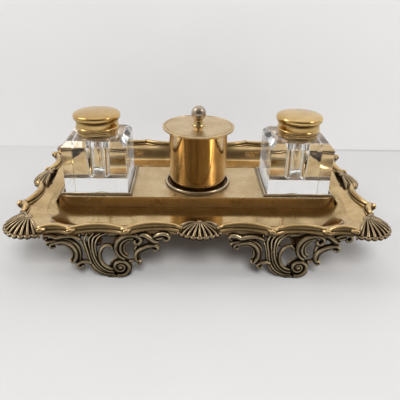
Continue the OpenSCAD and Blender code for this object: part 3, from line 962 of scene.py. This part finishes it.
# The flat pad that the foot stands on, and the two lugs
pad = block((-1.5 * mm, -foot_back_y - 3.6 * mm, 0), (8.5 * mm, -foot_back_y - 0.4 * mm, 2.0 * mm), 0.4 * mm)
foot_parts.append(pad)
for u in lug_places:
    lug_low = (u - 4 * mm, -foot_back_y - 1 * mm, under_z - lug_h)
    foot_parts.append(block(lug_low, (u + 4 * mm, -screw_y + 4 * mm, under_z), 0.5 * mm))
foot_casting = cast(foot_parts, 0.36 * mm)
for place in quarters:
    front, side = place.split("_")
    way = 1 if side == "right" else -1
    across = Matrix.Translation((way * foot_x, 0, 0))
    if front == "back":
        across = half_turn @ Matrix.Translation((-way * foot_x, 0, 0))
    foot = copied(foot_casting, across)
    finished(foot, f"foot_casting_{place}", aged_brass, "tray", "patinated_brass", f"foot_{place}")
thrown_away(foot_casting)

# ---------------------------------------------------------------------------------------------
# Turned work: the ring for the pot and the square galleries for the glass. A loop of edges is
# drawn up and scaled from one point of the section to the next, as on a lathe.
# ---------------------------------------------------------------------------------------------
def turned(section, at, sides=96):
    """A hollow or solid turning from a section of (radius, height) points in millimetres."""
    deselect()
    r, z = section[0]
    # A square one is turned so that its flats face the front, and radius is the distance to a flat
    twist = math.pi / 4 if sides == 4 else 0.0
    stretch = math.sqrt(2) if sides == 4 else 1.0
    start = (at[0], at[1], at[2] + z * mm)
    bpy.ops.mesh.primitive_circle_add(
        vertices=sides, radius=r * mm * stretch, location=start, rotation=(0, 0, twist)
    )
    made = bpy.context.object
    bpy.ops.object.transform_apply()
    open_mesh()
    for next_r, next_z in section[1:]:
        bpy.ops.mesh.extrude_edges_move(TRANSFORM_OT_translate={"value": (0, 0, (next_z - z) * mm)})
        share = next_r / r
        bpy.ops.transform.resize(value=(share, share, 1), center_override=(at[0], at[1], 0))
        r, z = next_r, next_z
    close_mesh()
    return made


def closed_end(piece, z):
    """Close the open loop at height z with a face."""
    pick_edges(piece, lambda c: abs(c.z - z) < 1e-6)
    bpy.ops.mesh.edge_face_add()
    close_mesh()


worn_plate = brass_material(
    "worn plated brass", (0.76, 0.65, 0.48), (0.60, 0.48, 0.32), 0.13, grime_and_shade=0.8, dents=0.1, under=0.35
)
# A solid turning stops this near its axis, in millimetres: a pinhole too fine to see
tiny = 0.02
ring_low, ring_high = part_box("pot_ring")
ring_out = ring_high.x / mm
ring_bore = ring_out - 2.2
pot_ring = turned(
    [
        (ring_bore, 0), (ring_bore, 1.7), (ring_bore + 0.2, 2.1), (ring_bore + 0.6, 2.4),
        (ring_bore + 1.1, 2.5), (ring_bore + 1.6, 2.35), (ring_bore + 1.95, 1.9), (ring_out, 1.3),
        (ring_out, 0), (ring_bore, 0),
    ],
    (0, 0, ring_low.z),
)
seal(pot_ring, 50)
finished(pot_ring, "pot_seat_ring", worn_plate, "tray", "polished_brass", "pot_ring")

wells = {"left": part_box("glass_block_left"), "right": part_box("glass_block_right")}
well_at = {side: (low + top) / 2 for side, (low, top) in wells.items()}
for side in wells:
    low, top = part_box(f"well_frame_{side}")
    outer = (top.x - low.x) / 2 / mm
    inner = outer - 3.2
    gallery = turned(
        [
            (inner, 0), (inner, 0.9), (inner + 0.15, 1.1), (inner + 0.5, 1.15), (inner + 0.7, 0.8),
            (inner + 0.85, 0.8), (inner + 1.0, 1.5), (inner + 1.35, 1.9), (inner + 1.8, 2.0),
            (inner + 2.25, 1.85), (inner + 2.5, 1.4), (inner + 2.6, 0.7), (inner + 2.8, 0.7),
            (inner + 2.9, 1.0), (outer, 0.9), (outer, 0), (inner, 0),
        ],
        (well_at[side].x, 0, low.z),
        4,
    )
    seal(gallery, 50)
    finished(gallery, f"well_gallery_{side}", worn_plate, "tray", "polished_brass", f"well_frame_{side}")

# ---------------------------------------------------------------------------------------------
# The screws: eight slotted brass screws through the lugs of the feet into the tray.
# ---------------------------------------------------------------------------------------------
def cut_out(piece, cutter):
    """Cut the shape of the cutter out of the piece."""
    worked(piece, "BOOLEAN", operation="DIFFERENCE", object=cutter, solver="EXACT")
    thrown_away(cutter)


head_z = under_z - lug_h
screw_section = [
    (tiny, -1.8), (1.4, -1.75), (2.2, -1.5), (2.65, -1.0), (2.8, -0.4), (2.8, 0), (1.5, 0), (1.5, 4.0),
    (tiny, 4.0),
]
one_screw = turned(screw_section, (0, 0, head_z), 32)
seal(one_screw)
slot_half_l, slot_half_w = 3.4 * mm, 0.35 * mm
slot_low = (-slot_half_l, -slot_half_w, head_z - 2.4 * mm)
cut_out(one_screw, block(slot_low, (slot_half_l, slot_half_w, head_z - 1.1 * mm), 0.02 * mm))
screws = []
for across in (-1, 1):
    for front in (-1, 1):
        for i, u in enumerate(lug_places):
            at = Matrix.Translation((across * foot_x - front * u, front * screw_y, 0))
            screws.append(copied(one_screw, at @ Matrix.Rotation(0.9 * i + 0.5 * across, 4, "Z")))
thrown_away(one_screw)
all_screws = joined(screws)
seal(all_screws)
finished(all_screws, "foot_screw_set", aged_brass, "tray", "patinated_brass", "foot_screws")

# ---------------------------------------------------------------------------------------------
# The glass blocks: cast crystal cubes, ground flat, bevelled round the top and polished, with
# a drilled reservoir that narrows downwards to a round bottom.
# ---------------------------------------------------------------------------------------------
def glass_material():
    """Clear crystal with the faintest green, and smears on its polish."""
    material, tree, shader = new_material("clear crystal")
    place = node(tree, "TexCoord").outputs["Object"]
    smears = node(tree, "TexNoise", Vector=place, Scale=40.0, Detail=4.0).outputs["Fac"]
    feed(shader.inputs["Roughness"], remap(tree, smears, 0.55, 0.8, 0.0, 0.03))
    tint = ramp(tree, smears, {0.0: (0.965, 0.985, 0.98), 1.0: (0.99, 0.997, 0.995)})
    feed(shader.inputs["Base Color"], tint)
    shader.inputs["IOR"].default_value = 1.52
    shader.inputs["Transmission Weight"].default_value = 1.0
    return material


crystal = glass_material()
mouth_r, bevel = 10.5, 4 * mm
reservoir_floor = 48 * mm
round_middle_r, round_r = 6.0, 3
for side, (low, top) in wells.items():
    deselect()
    bpy.ops.mesh.primitive_cube_add(size=1, location=(low + top) / 2)
    glass = bpy.context.object
    glass.scale = top - low
    bpy.ops.object.transform_apply()
    pick_edges(glass, lambda c: c.z > top.z - mm)
    bpy.ops.mesh.bevel(offset=bevel, segments=1, affect="EDGES")
    close_mesh()
    worked(glass, "BEVEL", width=0.35 * mm, segments=1, limit_method="ANGLE", angle_limit=math.radians(30))
    # The drill: a rounded bottom, a tapering bore and a flared mouth, with its end above the block
    depth = (top.z - reservoir_floor) / mm
    quarter_round = [
        (round_middle_r + round_r * math.sin(math.radians(a)), round_r - round_r * math.cos(math.radians(a)))
        for a in range(0, 91, 10)
    ]
    bore = [
        (mouth_r - 0.4, depth - 2), (mouth_r, depth - 0.6), (mouth_r + 0.5, depth + 0.02),
        (mouth_r + 0.5, depth + 4), (tiny, depth + 4),
    ]
    drill = turned(
        [(tiny, 0), (3, 0)] + quarter_round + bore, (well_at[side].x, 0, reservoir_floor), 128
    )
    seal(drill)
    cut_out(glass, drill)
    # Only the bore is shaded smooth: the ground faces stay flat, and bend the light as flat ones
    seal(glass, 14)
    finished(glass, f"crystal_block_{side}", crystal, f"inkwell_{side}", "clear_glass", f"glass_block_{side}")

# ---------------------------------------------------------------------------------------------
# The collars: turned brass, cemented on the glass with a sleeve in its mouth. Two ears behind
# each carry the pin that the lid swings on.
# ---------------------------------------------------------------------------------------------
polished_brass = brass_material(
    "polished brass", (0.76, 0.55, 0.27), (0.62, 0.43, 0.19), 0.11, grime_and_shade=0.8, dents=0.12
)
glass_top = wells["left"][1].z
pin_low, pin_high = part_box("hinge_pin_left")
pin_at = (pin_low + pin_high) / 2
pin_l = pin_high.x - pin_low.x
seam = (pin_at.z - glass_top) / mm
knuckle_r, ear_l, knuckle_l = 2.1, 4.0, 8.0
half_pin = pin_l / 2 / mm
hinge_at = {side: Vector((at.x, pin_at.y, pin_at.z)) for side, at in well_at.items()}


def laid_along_x(piece, at):
    """Lay a piece that was turned upright along X, with its middle at the given place."""
    piece.matrix_world = Matrix.Translation(at) @ Matrix.Rotation(math.pi / 2, 4, "Y")
    bpy.ops.object.transform_apply()


def barrel(x, length, at, r=knuckle_r, hole=1.02):
    """One knuckle of a hinge, lying along X, with eased edges and a hole for the pin."""
    half = length / 2
    section = [(hole, -half), (r - 0.25, -half), (r, 0.25 - half), (r, half - 0.25), (r - 0.25, half)]
    made = turned(section + [(hole, half), (hole, -half)], (0, 0, 0), 32)
    seal(made)
    laid_along_x(made, (at.x + x, at.y, at.z))
    return made


for side in wells:
    x = well_at[side].x
    collar = turned(
        [
            (8.5, 0), (8.5, seam), (15.9, seam), (16.3, seam - 0.2), (16.45, seam - 0.6),
            (16.4, seam - 1.2), (16.2, seam - 1.6), (16.2, 1.5), (16.5, 1.1), (16.5, 0.3), (16.2, 0),
            (10, 0), (10, -6), (8.5, -6), (8.5, 0),
        ],
        (x, 0, glass_top),
    )
    seal(collar)
    parts = [collar]
    for across in (-1, 1):
        ear_x = across * (pin_l / 2 - ear_l * mm / 2)
        arm_low = (x + ear_x - ear_l * mm / 2, 14.5 * mm, glass_top + 1.6 * mm)
        arm_high = (x + ear_x + ear_l * mm / 2, pin_at.y - 1.1 * mm, glass_top + 3.6 * mm)
        parts += [barrel(ear_x, ear_l, hinge_at[side]), block(arm_low, arm_high, 0.3 * mm)]
    collar = joined(parts)
    seal(collar)
    well = f"inkwell_{side}"
    finished(collar, f"turned_collar_{side}", polished_brass, well, "polished_brass", f"collar_{side}")
    pin_section = [(tiny, -half_pin), (0.8, -half_pin), (1, 0.2 - half_pin), (1, half_pin - 0.2)]
    pin = turned(pin_section + [(0.8, half_pin), (tiny, half_pin)], (0, 0, 0), 24)
    seal(pin)
    laid_along_x(pin, hinge_at[side])
    finished(pin, f"lid_pin_{side}", aged_brass, well, "dark_bronze", f"hinge_pin_{side}")

# ---------------------------------------------------------------------------------------------
# The inkwell lids: turned hollow caps with a bead at the seam, a plain band, a groove, and an
# overhanging rounded rim under a low domed top. A knuckle behind swings on the pin.
# ---------------------------------------------------------------------------------------------
cap_brass = brass_material(
    "cap brass", (0.82, 0.57, 0.24), (0.64, 0.41, 0.15), 0.08, grime_and_shade=0.9, dents=0.12, under=0.62
)
lid_z = pin_at.z + 0.1 * mm
cap_in, cap_h = 14.9, 13.2
for side in wells:
    x = well_at[side].x
    cap = turned(
        [
            (cap_in, 0), (16.9, 0), (17.25, 0.25), (17.4, 0.75), (17.3, 1.25), (16.95, 1.6), (16.75, 1.8),
            (16.8, 2.3), (16.9, 3.0), (16.9, 6.2), (16.7, 6.7), (16.2, 6.9), (16.2, 7.2), (17.2, 7.3),
            (18.1, 7.6), (18.6, 8.1), (18.8, 8.8), (18.8, 10.3), (18.6, 11.0), (18.1, 11.6), (17.3, 12.0),
            (15, 12.35), (10, 12.8), (5, 13.1), (1, cap_h), (tiny, cap_h),
        ],
        (x, 0, lid_z),
    )
    closed_end(cap, lid_z + cap_h * mm)
    hollow = turned([(cap_in, 0), (cap_in, 10.4), (14.4, 10.9), (8, 11.3), (tiny, 11.4)], (x, 0, lid_z))
    cap = joined([cap, hollow])
    seal(cap)
    knuckle = barrel(0, knuckle_l, hinge_at[side], hole=1.06)
    arm_low = (x - knuckle_l / 2 * mm, 15.4 * mm, lid_z + 0.5 * mm)
    arm_high = (x + knuckle_l / 2 * mm, pin_at.y - 1.1 * mm, lid_z + 1.9 * mm)
    arm = block(arm_low, arm_high, 0.3 * mm)
    cap = joined([cap, knuckle, arm])
    seal(cap)
    finished(cap, f"domed_cap_{side}", cap_brass, f"inkwell_lid_{side}", "polished_brass", f"lid_{side}")

# ---------------------------------------------------------------------------------------------
# The pot: drawn brass tube with a small turned bead under its lip, and a soldered floor.
# ---------------------------------------------------------------------------------------------
mirror_brass = brass_material(
    "mirror brass", (0.78, 0.54, 0.26), (0.68, 0.45, 0.20), 0.05, grime_and_shade=0.4, dents=0.06, streaks=0.45
)
pot_low, pot_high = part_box("pot_body")
pot_l = (pot_high.z - pot_low.z) / mm
pot_r = 23.85
pot_in = pot_r - 1.6
pot = turned(
    [
        (pot_in, 0), (pot_in, pot_l - 0.3), (pot_in + 0.3, pot_l), (pot_r + 0.3, pot_l),
        (pot_r + 0.62, pot_l - 0.25), (pot_r + 0.7, pot_l - 0.8), (pot_r + 0.6, pot_l - 1.5),
        (pot_r + 0.25, pot_l - 2.0), (pot_r, pot_l - 2.3), (pot_r, 0.6), (pot_r - 0.25, 0.1),
        (pot_r - 0.6, 0), (pot_in, 0),
    ],
    (0, 0, pot_low.z),
    128,
)
seal(pot)
finished(pot, "pot_tube", mirror_brass, "pot", "polished_brass", "pot_body")
floor_low, floor_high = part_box("pot_floor")
disc_h = (floor_high.z - floor_low.z) / mm
disc_section = [
    (tiny, 0), (pot_in - 0.4, 0), (pot_in, 0.3), (pot_in, disc_h - 0.5), (pot_in - 0.6, disc_h - 0.2),
    (pot_in - 2, disc_h), (tiny, disc_h),
]
disc = turned(disc_section, (0, 0, floor_low.z))
seal(disc)
finished(disc, "pot_base_disc", satin_brass, "pot", "polished_brass", "pot_floor")

# ---------------------------------------------------------------------------------------------
# The pot's lid: a broad brim that overhangs the pot, a spigot that locates it, and a turned
# stem with a dark bronze ball screwed through the middle.
# ---------------------------------------------------------------------------------------------
lid_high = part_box("pot_lid")[1]
brim_r = lid_high.x / mm
brim_t = 2.0
brim_z = lid_high.z - brim_t * mm
spigot_r = pot_in - 0.35
cover = turned(
    [
        (2.0, 0), (2.0, brim_t), (8.2, brim_t), (10, brim_t - 0.12), (brim_r - 2.7, brim_t - 0.12),
        (brim_r - 2.5, brim_t - 0.5), (brim_r - 2.1, brim_t - 0.5), (brim_r - 1.8, brim_t - 0.05),
        (brim_r - 1.4, brim_t), (brim_r - 0.6, brim_t - 0.1), (brim_r - 0.1, brim_t - 0.5),
        (brim_r, brim_t - 1.0), (brim_r - 0.15, 0.4), (brim_r - 0.6, 0.05), (brim_r - 1.2, 0),
        (spigot_r, 0), (spigot_r, -5.6), (spigot_r - 0.3, -6), (spigot_r - 1.3, -6),
        (spigot_r - 1.6, -5.7), (spigot_r - 1.6, 0), (2.0, 0),
    ],
    (0, 0, brim_z),
    128,
)
seal(cover)
finished(cover, "pot_lid_brim", satin_brass, "pot_cover", "polished_brass", "pot_lid")
stem = turned(
    [
        (tiny, -3.5), (1.9, -3.5), (2.0, -3.3), (2.0, 0), (5.2, 0), (5.15, 0.3), (4.75, 0.7), (4.2, 1.6),
        (3.7, 2.6), (3.35, 3.8), (3.2, 4.8), (3.4, 5.4), (3.4, 5.9), (tiny, 5.9),
    ],
    (0, 0, lid_high.z),
    48,
)
seal(stem)
finished(stem, "finial_turned_stem", polished_brass, "pot_cover", "dark_bronze", "finial_stem")

bronze = brass_material("dark bronze", (0.58, 0.49, 0.39), (0.42, 0.34, 0.26), 0.27, grime_and_shade=0.4, dents=0.15)
ball_low, ball_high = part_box("finial_ball")
ball_r = (ball_high.z - ball_low.z) / 2 / mm
sphere_section = [
    (max(tiny, ball_r * math.sin(math.radians(a))), -ball_r * math.cos(math.radians(a)))
    for a in range(0, 181, 6)
]
knob = turned(sphere_section, (0, 0, (ball_low.z + ball_high.z) / 2), 48)
seal(knob)
finished(knob, "finial_ball_turned", bronze, "pot_cover", "dark_bronze", "finial_ball")
